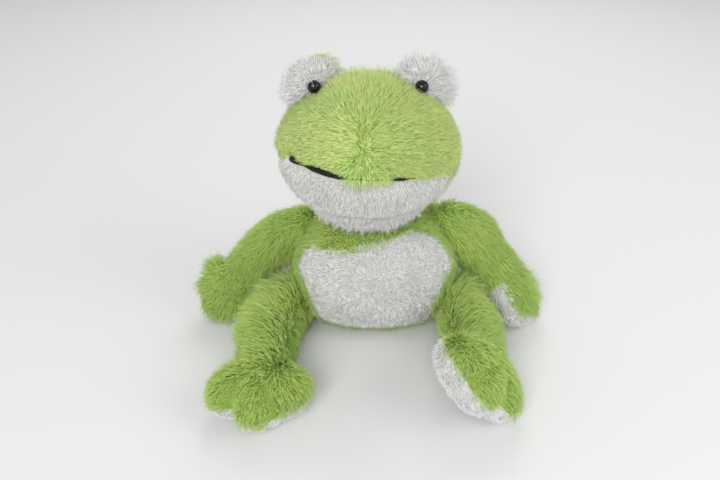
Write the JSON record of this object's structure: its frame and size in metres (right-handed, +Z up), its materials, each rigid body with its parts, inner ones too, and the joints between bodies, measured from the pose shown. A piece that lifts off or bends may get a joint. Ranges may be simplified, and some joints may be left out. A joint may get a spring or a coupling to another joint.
{
  "type": "plush frog",
  "caption": "Sitting plush frog with a wide head, bead eyes on raised mounds, a pale jaw and belly, and sewn arms and legs that end in toed feet.",
  "frame": {"origin": "on the flat under the seat, below the middle of the torso", "axes": "+Z up, the frog faces -Y, and +X is the frog's own left"},
  "size_m": [0.3376, 0.2671, 0.2605],
  "materials": {
    "green_plush": "matte",
    "white_plush": "matte",
    "stuffing": "matte",
    "calico": "matte",
    "black_cloth": "matte",
    "black_plastic": "gloss",
    "clear_plastic": "satin"
  },
  "bodies": {
    "torso": {"torso_skin": "green_plush", "torso_stuffing": "stuffing", "pellet_pouch": "calico", "belly_panel": "white_plush"},
    "neck": {"neck_skin": "green_plush", "neck_stuffing": "stuffing"},
    "head": {"head_skin": "green_plush", "head_stuffing": "stuffing", "lower_jaw": "white_plush", "mouth_lining": "black_cloth", "eye_front_left": "white_plush", "eye_front_right": "white_plush", "eye_back_left": "green_plush", "eye_back_right": "green_plush", "eye_stuffing_left": "stuffing", "eye_stuffing_right": "stuffing", "eye_bead_left": "black_plastic", "eye_bead_right": "black_plastic", "eye_washer_left": "clear_plastic", "eye_washer_right": "clear_plastic"},
    "arm_left": {"arm_skin_left": "green_plush", "arm_stuffing_left": "stuffing", "palm_panel_left": "white_plush"},
    "arm_right": {"arm_skin_right": "green_plush", "arm_stuffing_right": "stuffing", "palm_panel_right": "white_plush"},
    "leg_left": {"leg_skin_left": "green_plush", "leg_stuffing_left": "stuffing", "sole_panel_left": "white_plush"},
    "leg_right": {"leg_skin_right": "green_plush", "leg_stuffing_right": "stuffing", "sole_panel_right": "white_plush"}
  },
  "joints": [
    {"name": "head_nod", "type": "hinge", "parent": "torso", "child": "neck", "pos_m": [-0.0035, -0.008, 0.1165], "axis": [1, 0, 0], "range_deg": [-12, 6], "stiffness_Nm_per_rad": 3},
    {"name": "head_turn", "type": "hinge", "parent": "neck", "child": "head", "pos_m": [-0.0035, -0.008, 0.1165], "axis": [0, 0, 1], "range_deg": [-30, 30], "stiffness_Nm_per_rad": 2},
    {"name": "arm_left_swing", "type": "hinge", "parent": "torso", "child": "arm_left", "pos_m": [0.06424, -0.01692, 0.095], "axis": [0.8976, -0.047, 0.4384], "range_deg": [-6, 70], "stiffness_Nm_per_rad": 1},
    {"name": "arm_right_swing", "type": "hinge", "parent": "torso", "child": "arm_right", "pos_m": [-0.06424, -0.01692, 0.095], "axis": [0.8976, 0.047, -0.4384], "range_deg": [-14, 70], "stiffness_Nm_per_rad": 1},
    {"name": "leg_left_lift", "type": "hinge", "parent": "torso", "child": "leg_left", "pos_m": [0.0662, -0.04669, 0.032], "axis": [-0.8441, 0.5072, 0.1736], "range_deg": [-15, 45], "stiffness_Nm_per_rad": 1.5},
    {"name": "leg_right_lift", "type": "hinge", "parent": "torso", "child": "leg_right", "pos_m": [-0.0662, -0.04669, 0.032], "axis": [-0.8441, -0.5072, -0.1736], "range_deg": [-15, 45], "stiffness_Nm_per_rad": 1.5}
  ]
}
